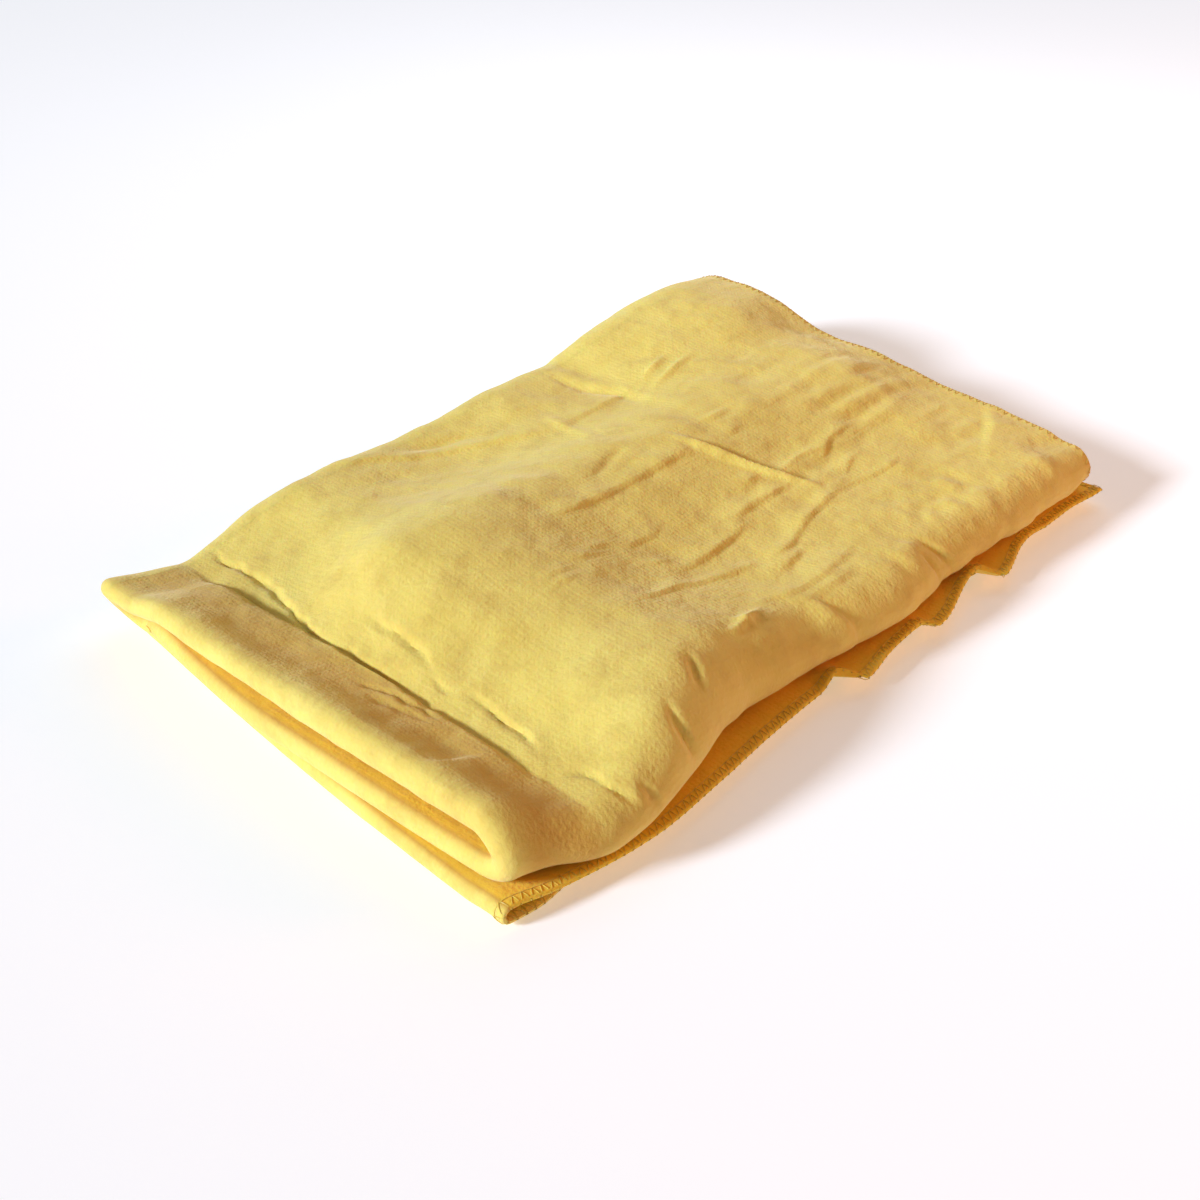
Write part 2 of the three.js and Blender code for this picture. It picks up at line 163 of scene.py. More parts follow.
# %% Ramp, bump and mix
def ramp(a, b, v):
    """From 0 at a to 1 at b: three times the squared share, less twice its cube."""
    t = np.clip((v - a) / (b - a), 0, 1)
    return t * t * (3 - 2 * t)


def bump(v, centre, spread):
    """A bell of height 1: e to minus the squared distance in spreads."""
    return np.exp(-(((v - centre) / spread) ** 2))


def mix(a, b, t):
    """The value a share t of the way from a to b."""
    return a + (b - a) * t


print("a ramp at a quarter of its way:", ramp(0, 1, 0.25), "a bump at one spread:", bump(1, 0, 1).round(3))


# %% [markdown]
# The top third is soft and full of air. Behind its near lip lies a valley, then a hump, then a
# long slope to the far edges, where it sinks again. Its left side is lower before the far half.
# Here q runs from 1 at the left fold to -1 at the right fold.

# %% Height of the top third
VALLEY_LEFT = 0.9  # loft of the valley at its two ends
VALLEY_RIGHT = 3.0
FAR_LOFT = 16.5  # loft of the far half
RIGHT_DROP = 10  # how much lower it is at the right fold
LEFT_RISE = 5  # how much higher it is at the far left corner
LEFT_DIP = 10  # how much lower the left side is before the far half
DROOP = 4.5  # how far the far edges sink
HUMP = 6.4
HUMP_LEAN = 3.9  # how much higher the hump is at the right fold, and lower at the left
HUMP_X = -56
HUMP_SPREAD = 30


def top_loft(x, q):
    """Loft over the flattest stack: the valley's height, raised by a ramp to the far height."""
    left = ramp(0.3, 1, q)
    valley = mix(VALLEY_RIGHT, VALLEY_LEFT, (1 + q) / 2) - 1.2 * ramp(0.93, 1, q)
    far = FAR_LOFT - RIGHT_DROP * ramp(0.25, -1, q) + LEFT_RISE * ramp(0.55, 1, q) * ramp(60, 103, x)
    ends = 0.3 * ramp(-0.975, -1, q) - 0.25 * left
    uneven = 0.45 * bump(q, 0.35, 0.6) - 0.85 * bump(q, -0.8, 0.35) + ends
    droop = DROOP * (1 + uneven) * ramp(FAR_X - 30, FAR_X + 2, x)
    notch = 1.5 * bump(x, 47, 6) - 3.4 * bump(x, 20, 20)
    dip = ramp(0.2, 1, q) * (LEFT_DIP * (1 - ramp(26, 76, x)) + notch)
    hump = (HUMP - HUMP_LEAN * q) * bump(x, HUMP_X, HUMP_SPREAD)
    rise = ramp(-106 + 6 * left, -73 + 15 * left, x)
    return valley + (far - droop - dip + hump - valley) * rise


def lip_radius(q):
    """Roundness of the near fold, from the left end of the lip to its right end."""
    return mix(LIP_RIGHT, LIP_LEFT, (1 + q) / 2)


def top_height(x, q):
    """The loft on the stack, plus the lip, whose back falls straight to the valley."""
    side = 1 - 0.4 * ramp(0.85, 1, q)
    back = np.clip((x - NEAR_X - LIP_LEFT) / LIP_LENGTH, 0, 1)
    return TOP_Z + top_loft(x, q) + (LIP_TOP - lip_radius(q)) * side * (1 - back)


print("top third over the table in mm, at the valley, the hump and the far end:",
      [round(float(top_height(x, 0.0)), 1) for x in (-100, HUMP_X, 120)])


# %% [markdown]
# The tucked third follows the top in part, and the bottom third lies on the table. Its open cut
# edge is stretched by the overlock stitching, so it stands in waves like the edge of a leaf.

# %% Heights of the tucked and bottom thirds
FRILL = 2.0  # height of the waves
FRILL_SWAY = 5.2  # how much further out the edge reaches where it lies down
FRILL_REACH = 0.05  # share of the bottom third that is in waves
FRILL_PITCH = 34
FRILL_CREST = 0.84  # share of a wave at which it stands up, before it drops and reaches out at once
NEAR_OUT = 3.2  # how far the bottom's near fold reaches out at the cut edge
NEAR_BACK = 8.6  # how far it lies back at the left fold


def tuck_height(x, s):
    """A level sheet that takes two fifths of the top's loft; s is 0 at its fold, 1 at its edge."""
    lift = 2 * RIM_RADIUS + TUCK_RIM - 3 * HALF_PLY - LAYER_GAP + RIM_GAP
    rim = lift * bump(x, NEAR_X - 1, 16)
    side = TUCK_EDGE * ramp(0.8, 1, s) * (1 - ramp(NEAR_X + 14, NEAR_X + 30, x))
    edge = 2 * EDGE_LIFT * ramp(FAR_X - 14, FAR_X - 3, x) + side
    loft = top_loft(x, -np.cos(0.9 * np.pi * s))
    follow = 0.4 * loft * ramp(0, 0.5, s) * ramp(FAR_X, FAR_X - 40, x)
    return TUCK_Z + rim + edge + follow * (1 - 0.5 * ramp(0.6, 1, s))


def half_spacing(x, near, radius):
    """Half the distance between the two plies, widening to the round near fold."""
    return mix(radius, HALF_PLY, ramp(near + radius, near + radius + 13, x))


def wave(x):
    """Waves of the open cut edge: 0 where it lies down, 1 where it stands up. One is half as high."""
    t = np.mod((x + 2) / FRILL_PITCH, 1)
    return ramp(0, FRILL_CREST, t) * ramp(1, FRILL_CREST, t) * (1 - 0.5 * bump(x, 22, 14))


def frill_strength(x):
    """The waves start past the hump and end before the far corner."""
    return ramp(-16, -6, x) * (1 - ramp(62, 104, x))


def bottom_near(s):
    """Near fold of the bottom third, which reaches out furthest below the front corner."""
    return mix(NEAR_X - NEAR_OUT, NEAR_X + NEAR_BACK, s) - 2 * np.sin(np.pi * s)


def tuck_near(s):
    """Near fold of the tucked third, which stands out in its middle and is drawn in at its edge."""
    return mix(NEAR_X + 0.3, NEAR_X - 1.5, s) - 1.5 * np.sin(np.pi * s) + 6 * ramp(0.55, 1.1, s)


def bottom_height(x, s):
    """Flat on the table, lifted by the thread at its edges and by the waves of the cut edge."""
    edge = EDGE_LIFT * np.maximum(ramp(0.09, 0.03, s), ramp(FAR_X - 14, FAR_X - 3, x))
    puff = half_spacing(x, bottom_near(s), RIM_RADIUS) - HALF_PLY
    rise = FRILL * frill_strength(x) * wave(x)
    return BOTTOM_Z + puff + edge + rise * np.maximum(0, 1 - s / FRILL_REACH) ** 1.6


print("cut edge over the table in mm, along two waves:",
      [round(float(bottom_height(x, 0.0)), 1) for x in range(0, 2 * FRILL_PITCH, 8)])


# %% [markdown]
# Seen from the near end the roll is five stretches in a row: the bottom, a half turn up on the
# left, the top, a half turn down on the right, and the tucked end. Each is a line in y and z for
# a share s of the stretch. Its third value, v, is the place on the unrolled cloth: it equals y on
# the top and runs on over both folds, so a crease or a dent crosses them without a break.

# %% The stretches of the roll
def right_side(x):
    """Outside of the right fold, which is pushed out beside the hump."""
    bulge = BULGE * ramp(NEAR_X + 1, -98, x) * (1 - ramp(-92, -40, x))
    return RIGHT_SIDE - bulge - SWELL * bump(x, 22, 24) - FLARE * ramp(30, 90, x)


def cut_side(x):
    """The open cut edge: the waves that lie down reach further out."""
    reach = FRILL_SWAY * frill_strength(x) * (1 - wave(x))
    corner = ramp(-116, -127, x) + ramp(70, 95, x) - CUT_CORNER * ramp(112, 128, x)
    return CUT_SIDE - CUT_BULGE * bump(x, -85, 42) - reach + corner


def left_turn(x):
    """Radius of the left half turn and the y of its centre."""
    radius = (top_height(x, 1) - bottom_height(x, 1)) / 2
    waist = 3.2 * bump(x, -101, 16)
    return radius, LEFT_SIDE - waist - radius - DOUBLED / 2


def right_turn(x):
    """Radius of the right half turn and the y of its centre."""
    radius = (top_height(x, -1) - tuck_height(x, 0)) / 2
    return radius, right_side(x) + radius + DOUBLED / 2


def bottom_line(s, x):
    """A level run from the cut edge to the left turn."""
    radius, centre = left_turn(x)
    y = mix(cut_side(x), centre, s)
    return y, bottom_height(x, s), centre + np.pi * radius + (centre - y)


def left_line(s, x):
    """A half circle outwards and up: the angle goes from -90 to 90 degrees."""
    radius, centre = left_turn(x)
    a = np.pi * (s - 0.5)
    z = bottom_height(x, 1) + radius * (1 + np.sin(a))
    return centre + radius * np.cos(a), z, centre + np.pi * radius * (1 - s)


def top_line(s, x):
    """A run from the left turn to the right turn at the height of the top third."""
    y = mix(left_turn(x)[1], right_turn(x)[1], s)
    return y, top_height(x, np.cos(np.pi * s)), y


def right_line(s, x):
    """A half circle outwards and down to the tucked third, made fuller as it goes down."""
    radius, centre = right_turn(x)
    a = np.pi * (s - 0.5)
    z = top_height(x, -1) - radius * (1 + np.sin(a))
    sag = 1 + RIGHT_SAG * (1 + np.sin(a)) / 2
    return centre - radius * sag * np.cos(a), z, centre - np.pi * radius * s


def tuck_line(s, x):
    """A run back from the right turn to the tucked cut edge."""
    radius, centre = right_turn(x)
    y = mix(centre, TUCK_END, s)
    return y, tuck_height(x, s), centre - np.pi * radius - (y - centre)


STRETCHES = {
    "bottom": dict(line=bottom_line, near=bottom_near, radius=lambda s: RIM_RADIUS + 0 * s,
                   far=lambda s: FAR_TIP * ramp(0.3, 0, s)),
    "left": dict(line=left_line, near=lambda s: mix(NEAR_X + NEAR_BACK, NEAR_X - 0.3, ramp(0, 1, s)),
                 radius=lambda s: mix(RIM_RADIUS, LIP_LEFT, ramp(0, 1, s)), far=lambda s: 0 * s),
    "top": dict(line=top_line, radius=lambda s: lip_radius(np.cos(np.pi * s)), far=lambda s: 0 * s,
                near=lambda s: mix(NEAR_X - 0.3, NEAR_X + 0.3, s) - 1.5 * np.sin(np.pi * s)),
    "right": dict(line=right_line, near=lambda s: NEAR_X + 0.3 + 0 * s, far=lambda s: 0 * s,
                  radius=lambda s: mix(LIP_RIGHT, TUCK_RIM, ramp(0, 1, s))),
    "tuck": dict(line=tuck_line, near=tuck_near, far=lambda s: 0 * s,
                 radius=lambda s: mix(TUCK_RIM, RIM_RADIUS, ramp(0.6, 1, s))),
}
print("turn radii in mm at the near end, the hump and the far end:",
      [np.round([left_turn(x)[0], right_turn(x)[0]], 1).tolist() for x in (-120, HUMP_X, 120)])


# %% [markdown]
# One row of the mesh lies at one station along the cloth: from the far edge of the outer ply to
# the near fold, around the fold, and back along the inner ply. The stations lie close where the
# eye meets them and wide where the roll hides them.

# %% Stations along the cloth
EDGE_STEPS = np.array([0, 0.12, 0.35, 0.8])  # mm from a cut edge, where its rim is rounded
WIDE = 130  # about how wide the stretches with a cut side are


def along_ply(count):
    """Shares of a ply from its far edge to its near turn, with the edge's own steps first."""
    first = EDGE_STEPS / PACK_LENGTH
    return np.concatenate([first, np.linspace(first[-1], 1, count - len(first) + 1)[1:]])


def stations(outer, turn, inner):
    """Side, share and angle of each row, for that many rows on each ply and around the fold."""
    angles = np.linspace(0, np.pi, turn + 2)[1:-1]
    side = np.concatenate([np.ones(outer), np.zeros(turn), -np.ones(inner)])
    share = np.concatenate([along_ply(outer), np.ones(turn), along_ply(inner)[::-1]])
    angle = np.concatenate([np.zeros(outer), angles, np.full(inner, np.pi)])
    return dict(side=side[:, None], share=share[:, None], angle=angle[:, None])


print("the first rows lie", EDGE_STEPS, "mm from the far edge")


# %% [markdown]
# Cloth never lies smooth. Its dents could be sculpted one by one, but no two photographs would show
# the same ones. A soft lattice noise gives them instead. Its random values come from a fixed seed,
# so every run makes the same cloth.

# %% Noise for the dents
LATTICE = 64  # random values on each side of the table, which then repeats


def soft_noise(x, v, size_x, size_v, seed):
    """Random lattice values, blended by smooth shares between the four corners around a point."""
    table = np.random.default_rng(seed).uniform(-1, 1, (LATTICE, LATTICE))
    a, b = x / size_x, v / size_v
    i, j = np.floor(a).astype(int), np.floor(b).astype(int)
    ta, tb = ramp(0, 1, a - i), ramp(0, 1, b - j)
    corner = lambda p, q: table[(i + p) % LATTICE, (j + q) % LATTICE]
    return mix(mix(corner(0, 0), corner(1, 0), ta), mix(corner(0, 1), corner(1, 1), ta), tb)


strip = soft_noise(np.linspace(0, 100, 50), np.zeros(50), 10, 10, 1)
print("a strip of noise goes from", strip.min().round(2), "to", strip.max().round(2))

# %% [markdown]
# The creases stay where the photograph shows them, because they are what makes this pack this pack.
# A crease is a line through a few points of the flat cloth, x along the pack and v across it, in
# millimetres. There the cloth rises to a ridge, sinks to a groove, steps up on the left of the line,
# or laps over: it swells gently on the left and drops steeply on the right. Each fades out at its
# ends. The heights give the creases their order, and one depth for all makes them millimetres.

# %% The list of creases
CREASE_DEPTH = 1.6
RIDGE, GROOVE, STEP_UP, LAP = "ridge", "groove", "step up", "lap"
CREASES = [  # kind, height, width and points
    # the back of the lip, and the ragged foot of the hump
    (LAP, 1.5, 2.0, [(-101, -82), (-105, -63), (-103, -51), (-103, -40), (-104, -30), (-102, -19),
                     (-102, -6), (-103, 10), (-105, 28), (-105, 48), (-103, 72)]),
    (GROOVE, 0.5, 0.9, [(-109, -9), (-107, -22), (-105, -32), (-105, -42)]),
    (GROOVE, 0.4, 0.9, [(-112, -16), (-109, -30), (-107, -44)]),
    (GROOVE, 0.8, 1.0, [(-92, 74), (-93, 56), (-93, 44), (-95, 32), (-97, 26), (-99, 16), (-101, 2)]),
    (GROOVE, 0.6, 0.9, [(-99, 8), (-100, -16), (-102, -26)]),
    (GROOVE, 0.8, 0.9, [(-89, 6), (-90, -10), (-90, -17), (-93, -27)]),
    (GROOVE, 0.5, 0.9, [(-92, -24), (-95, -29), (-93, -36)]),
    (GROOVE, 0.8, 0.9, [(-92, -33), (-93, -47), (-93, -56), (-96, -67)]),
    # the dart in the lip, and the small folds where lip and hump run into the right fold
    (STEP_UP, 0.7, 1.8, [(-104, -60), (-111, -54), (-119, -56), (-125, -50)]),
    (GROOVE, 0.7, 0.9, [(-99, -74), (-93, -76), (-94, -86)]),
    (GROOVE, 0.7, 0.9, [(-95, -82), (-91, -91)]),
    (GROOVE, 0.7, 0.9, [(-88, -86), (-85, -95)]),
    (GROOVE, 1.1, 1.3, [(-69, -78), (-72, -85), (-69, -95)]),
    (GROOVE, 0.9, 1.4, [(-53, -72), (-57, -77), (-60, -83)]),
    # small wrinkles on the far side of the hump
    (LAP, 0.45, 0.9, [(-62, -32), (-46, -32)]),
    (LAP, 0.45, 0.9, [(-60, -28), (-45, -28)]),
    (LAP, 0.45, 0.9, [(-48, -25), (-32, -27)]),
    (LAP, 0.4, 0.9, [(-40, -23), (-26, -24)]),
    (LAP, 0.55, 1.0, [(-30, -26), (-17, -27), (-7, -24)]),
    (LAP, 0.4, 0.9, [(-32, -35), (-15, -38)]),
    (RIDGE, 0.8, 0.9, [(-41, -69), (-38, -73), (-29, -71), (-18, -69)]),
    (RIDGE, 0.5, 0.9, [(-33, -68), (-27, -74)]),
    # the long creases of the slope
    (LAP, 0.9, 1.2, [(-38, -7), (-16, -7), (-1, -7), (12, -7), (20, -7), (30, -9)]),
    (GROOVE, 0.5, 1.7, [(-7, 8), (-10, 0), (1, 4), (16, 8)]),
    (LAP, 0.9, 1.1, [(-24, -42), (-10, -42), (2, -40), (10, -39), (15, -38)]),
    (LAP, 0.8, 1.0, [(6, -37), (16, -34), (26, -34), (41, -35)]),
    (LAP, 0.6, 1.0, [(20, -30), (26, -26), (37, -27)]),
    (LAP, 0.6, 0.8, [(-48, -49), (-36, -49), (-30, -48), (-22, -50), (-10, -52), (3, -53)]),
    (LAP, 0.75, 1.0, [(-2, -54), (10, -54), (18, -52), (28, -48), (40, -46), (52, -45)]),
    (LAP, 0.6, 1.0, [(46, -45), (59, -47), (67, -48), (80, -46)]),
    (LAP, 0.9, 1.2, [(-4, -60), (11, -58), (18, -55)]),
    (LAP, 0.9, 1.9, [(-24, -64), (-5, -70), (8, -69), (21, -67), (34, -63)]),
    (LAP, 0.8, 1.8, [(-20, -70), (1, -74), (14, -73), (26, -70)]),
    (LAP, 1.4, 1.2, [(3, -91), (1, -84), (-3, -80), (-4, -76), (-8, -72)]),
    # the sharp ridge across, and the crossing ridges on the left
    (RIDGE, 1.3, 1.4, [(23, 6), (28, -8), (35, -27), (39, -35), (46, -45)]),
    (RIDGE, 0.5, 2.0, [(18, 54), (15, 33), (9, 10)]),
    (LAP, 0.9, 1.6, [(-54, 72), (-38, 67), (-27, 59), (-13, 52), (-1, 44), (5, 40), (15, 33)]),
    (GROOVE, 0.8, 2.6, [(-28, 65), (-8, 58), (2, 54)]),
    (LAP, 0.7, 1.4, [(11, 34), (27, 36), (40, 35), (53, 39)]),
    (STEP_UP, 0.8, 2.8, [(40, 76), (41, 57), (42, 47), (46, 37), (43, 22), (41, 5)]),
    (GROOVE, 0.5, 1.8, [(37, 74), (38, 57), (39, 47), (43, 37), (40, 22)]),
    (RIDGE, 0.7, 1.4, [(51, 36), (68, 39)]),
    (RIDGE, 0.7, 1.4, [(47, 29), (66, 32), (76, 33)]),
    # short wrinkles of the far half
    (RIDGE, 0.5, 1.3, [(35, 1), (54, 0)]),
    (LAP, 0.5, 1.1, [(34, -9), (50, -7)]),
    (LAP, 0.8, 1.0, [(52, -35), (62, -28), (69, -27), (82, -26)]),
    (LAP, 0.8, 1.0, [(38, -29), (51, -27), (62, -30)]),
    (LAP, 0.6, 1.0, [(52, -42), (61, -38), (67, -37)]),
    (STEP_UP, 0.9, 2.0, [(128, -44), (114, -53), (101, -61), (86, -68)]),
    # nicks on the right fold
    (GROOVE, 0.9, 1.1, [(41, -73), (42, -78), (45, -82), (50, -88)]),
    (GROOVE, 0.8, 1.1, [(35, -77), (39, -83), (41, -89)]),
]
print("creases:", len(CREASES), "of up to", round(CREASE_DEPTH * max(c[1] for c in CREASES), 1), "mm")


# %% [markdown]
# To bend the cloth along such a line, every point of the mesh has to know how far from the line it
# is, on which side, and how far along. The corners of the line are cut first, so that it bends softly.

# %% Lines and distances
def smooth_line(points):
    """A line with its corners cut twice, at a quarter and three quarters of each leg."""
    p = np.array(points, float)
    for _ in range(2):
        legs = np.stack([mix(p[:-1], p[1:], 0.25), mix(p[:-1], p[1:], 0.75)], 1)
        p = np.concatenate([p[:1], legs.reshape(-1, 2), p[-1:]])
    return p


def beside(line, at):
    """Distance of each place from a line, positive on its left, and the share of its length."""
    legs = np.diff(line, axis=0)
    lengths = np.linalg.norm(legs, axis=1)
    starts = np.concatenate([[0], np.cumsum(lengths)])
    nearest = np.full(len(at), np.inf)
    signed, share = np.zeros(len(at)), np.zeros(len(at))
    for first, leg, length, start in zip(line, legs, lengths, starts):
        t = np.clip((at - first) @ leg / length ** 2, 0, 1)
        gap = at - first - t[:, None] * leg
        distance = np.linalg.norm(gap, axis=1)
        closer = distance < nearest
        left = np.sign(leg[0] * gap[:, 1] - leg[1] * gap[:, 0])
        nearest = np.where(closer, distance, nearest)
        signed = np.where(closer, left * distance, signed)
        share = np.where(closer, (start + t * length) / starts[-1], share)
    return signed, share


print("points of the first crease:", len(CREASES[0][3]), "and when smooth:", len(smooth_line(CREASES[0][3])))


# %% [markdown]
# A profile across the line then gives the height. Only points near a crease are worked out for it.
# Real creases aren't drawn with a ruler, so the noise above shifts every line a little.

# %% Heights of the creases
CREASE_REACH = 9  # widths from its line at which a crease has died away
RAGGED = 0.25  # mm by which a line is shifted
RAGGED_FOOT = 0.5  # how much more it is shifted at the foot of the hump
LAP_HEIGHT = 0.7  # share of its height to which a lap swells
LAP_LEFT, LAP_RIGHT = 3.5, 0.75  # how wide a lap is on its gentle and its steep side, in widths


def creases(x, v):
    """The sum of all creases, each a height times a profile in the distance d from its line.

    A ridge is a bell and a groove its negative. A step is a ramp that fades on its left. A lap is
    a lower bell, wide on its left and narrow on its right. Noise makes every line a little ragged,
    and more so at the foot of the hump.
    """
    total = np.zeros(x.shape)
    ragged = (RAGGED + RAGGED_FOOT * ramp(-75, -85, x)) * soft_noise(x, v, 4, 4, 11)
    for kind, height, width, points in CREASES:
        line = smooth_line(points)
        low, high = line.min(0) - CREASE_REACH * width, line.max(0) + CREASE_REACH * width
        close = (x > low[0]) & (x < high[0]) & (v > low[1]) & (v < high[1])
        if not close.any():
            continue
        d, t = beside(line, np.stack([x[close], v[close]], 1))
        d = d + ragged[close]
        length = np.linalg.norm(np.diff(line, axis=0), axis=1).sum()
        taper = min(0.5, 0.12 + 8 * width / length)
        fade = ramp(0, taper, t) * ramp(1, 1 - taper, t)
        profile = {
            RIDGE: lambda: bump(d, 0, width),
            GROOVE: lambda: -bump(d, 0, width),
            STEP_UP: lambda: ramp(-width, width, d) * np.exp(-np.maximum(d, 0) / (3 * width)),
            LAP: lambda: LAP_HEIGHT * bump(d, 0, np.where(d > 0, LAP_LEFT, LAP_RIGHT) * width),
        }[kind]
        total[close] += CREASE_DEPTH * height * fade * profile()
    return total


sharp = creases(np.linspace(20, 50, 60), np.full(60, -27.0))
print("over the sharp ridge the cloth moves from", sharp.min().round(2), "to", sharp.max().round(2), "mm")


# %% [markdown]
# The dress of the cloth puts these together: broad dents everywhere, lengthwise wrinkles on the
# far slope, a crumpled patch above the right fold, upright dents on that fold, and the creases.

# %% The dress
BROAD_DENTS, SMALL_DENTS, FINE_DENTS = 0.4, 0.38, 0.12  # how far the noises move the cloth, in mm
INNER_DENTS = 0.25
SLOPE_WRINKLES, CRUMPLE, UPRIGHT_DENTS = 0.6, 0.8, 0.5


def dress(name, s, x, v):
    """How far the outer ply and the inner ply move outwards at a place.

    Each noise is a strength times a lattice noise, turned or stretched as its dents run, and times
    ramps that keep it in its part of the cloth. What is hidden in the roll stays smooth outside.
    """
    fine = FINE_DENTS * soft_noise(0.8 * x + 0.6 * v, 0.8 * v - 0.6 * x, 5, 4, 6)
    inner = INNER_DENTS * soft_noise(x, v, 17, 13, 5) + fine
    shown = {"left": ramp(0.1, 0.6, s), "top": 1, "right": ramp(1, 0.75, s)}.get(name, 0)
    slope = ramp(25, 50, x) * ramp(122, 100, x) * ramp(-66, -50, v) * ramp(30, -5, v)
    crumple = bump(x, 67, 17) * bump(v, -70, 10)
    upright = ramp(-66, -76, v) * ramp(10, 35, x) * ramp(118, 100, x)
    dents = SMALL_DENTS * soft_noise(0.6 * x - 0.8 * v, 0.6 * v + 0.8 * x, 9, 7, 2)
    outer = BROAD_DENTS * soft_noise(x, v, 19, 15, 1) + dents + fine
    outer = outer + SLOPE_WRINKLES * slope * soft_noise(x + 0.2 * v, v, 20, 4.2, 3)
    outer = outer + CRUMPLE * crumple * soft_noise(x, v, 4.5, 4, 4)
    outer = outer + UPRIGHT_DENTS * upright * soft_noise(x + 0.4 * v, v, 4.5, 13, 7)
    if name in ("left", "top", "right"):
        outer = outer + creases(x, v)
    return shown * outer, inner


print("dents in mm:", BROAD_DENTS, "broad,", SMALL_DENTS, "small and", FINE_DENTS, "fine")


# %% [markdown]
# A face of the cloth is its middle surface moved along its normal. The normal is the cross
# product of two small differences, so it holds for any line above. The depth says which face of
# the ply is meant, and the dress adds the creases.

# %% Faces of the doubled cloth
UNDERCUT = 0.05  # share of the bottom third by which its lower ply stays behind at the cut side
OVERHANG = 0.016  # share by which its upper ply reaches further out there
APART = 45  # mm from the near fold over which the two plies part like this
# Painted shade: up to this share the cloth is painted tan, and past it amber.
PAINTED_TAN_SHARE = 0.7  # share of the deep colours up to which the cloth turns tan, and past it amber


def middle(stretch, s, x):
    """Points of the middle surface."""
    y, z, _ = stretch["line"](s, x)
    return np.stack([np.broadcast_to(x, y.shape), y, z], -1)


def unit(v):
    """Vectors divided by their lengths."""
    return v / np.linalg.norm(v, axis=-1, keepdims=True)


def middle_normal(stretch, s, x):
    """Unit normal of the middle surface, pointing out of the roll."""
    across = middle(stretch, s + 1e-3, x) - middle(stretch, s - 1e-3, x)
    along = middle(stretch, s, x + 0.05) - middle(stretch, s, x - 0.05)
    return unit(np.cross(across, along))


def rim_thickness(gap):
    """Share of the thickness near a cut edge: a quarter ellipse over 0.8 mm, never under 0.35."""
    t = np.clip(gap / EDGE_STEPS[-1], 0, 1)
    return mix(0.35, 1, np.sqrt(1 - (1 - t) ** 2))


def painted_shade_share(name, s, x, angle):
    """Share of painted shade: some on the lip and the right fold, where they turn from the light, and all of
    it on the tucked third past its rim and inside the roll, where it stands for shade and for light that
    comes through the cloth.
    """
    inside = ramp(0.72 * np.pi, np.pi, angle)
    lip = ramp(NEAR_X + 1, NEAR_X + 13, x) * ramp(-99, -107, x)
    fold = 0.35 * ramp(0.1, 0.8, s) * ramp(NEAR_X + 2, NEAR_X + 12, x)
    extra = {"top": lip * (0.45 + 0.2 * ramp(0.85, 1, s)), "right": np.minimum(fold + 0.65 * lip, PAINTED_TAN_SHARE),
             "tuck": ramp(NEAR_X + 4, NEAR_X + 14, x)}.get(name, 0)
    return np.clip(np.maximum(inside, extra), 0, 1) + 0 * s


def cloth_face(name, s, rows, face):
    """Points, flat coordinates and share of painted shade of one face: 1 outwards, -1 inwards, 0 between."""
    stretch = STRETCHES[name]
    s = s[None, :]
    near, radius, far = (stretch[key](s) for key in ("near", "radius", "far"))
    turn = near + radius
    side, angle = rows["side"], rows["angle"]
    edge = FAR_X + far - np.where(side > 0, OUTER_TRIM, INNER_TRIM)
    x0 = mix(edge, turn, rows["share"])
    open_side = s
    if name == "bottom":
        moved = np.where(side > 0, UNDERCUT * (1 - s), -OVERHANG * (1 - s) ** 6)
        s = s + moved * ramp(turn, turn + APART, x0)
    v = stretch["line"](s, x0)[2]
    outer, inner = dress(name, s, x0, v)
    cut = {"bottom": open_side, "tuck": 1 - s}.get(name, 1 + 0 * s) * WIDE
    depth = face * CLOTH / 2 * rim_thickness(edge - x0) * rim_thickness(cut)
    around = mix(outer, inner, angle / np.pi)
    depth = depth + np.where(side > 0, outer, np.where(side < 0, inner, around))
    round_depth = radius + depth
    x = np.where(side == 0, turn - round_depth * np.sin(angle), x0)
    flat_offset = side * (half_spacing(x0, near, radius) + depth)
    offset = np.where(side == 0, round_depth * np.cos(angle), flat_offset)
    points = middle(stretch, s + 0 * x, x) + offset[..., None] * middle_normal(stretch, s + 0 * x, x)
    flat = np.stack([np.where(side < 0, 2 * turn - x0, x0), v, 0 * v], -1)
    return points + SHIFT, flat, painted_shade_share(name, s, x0, angle)


print("share of the thickness left at a cut edge:", rim_thickness(0.0))


# %% [markdown]
# The shell of the cloth has a fine outer face and a coarse inner one, three steps to one, since
# nobody sees the inside of a ply. Polygons along the four borders join the two.

# %% Closed shells
STEP = 3
SHARP = math.radians(60)  # edges that turn more than this aren't smoothed


def border(fine, coarse):
    """Polygons between a fine line of vertices and the coarse line that faces it."""
    return [[*fine[STEP * k:STEP * k + STEP + 1], coarse[k + 1], coarse[k]] for k in range(len(coarse) - 1)]


def mesh_object(name, points, faces, flat):
    """Puts arrays into a smooth mesh, with its flat and folded places in metres as attributes."""
    mesh = bpy.data.meshes.new(name)
    mesh.from_pydata(points.tolist(), [], faces)
    for key, places in (("flat", flat / 1000), ("folded", points)):
        made = mesh.attributes.new(key, "FLOAT_VECTOR", "POINT")
        made.data.foreach_set("vector", places.astype(np.float32).ravel())
    mesh.shade_smooth()
    mesh.set_sharp_from_angle(angle=SHARP)
    mesh.validate()
    piece = bpy.data.objects.new(name, mesh)
    bpy.context.scene.collection.objects.link(piece)
    return piece


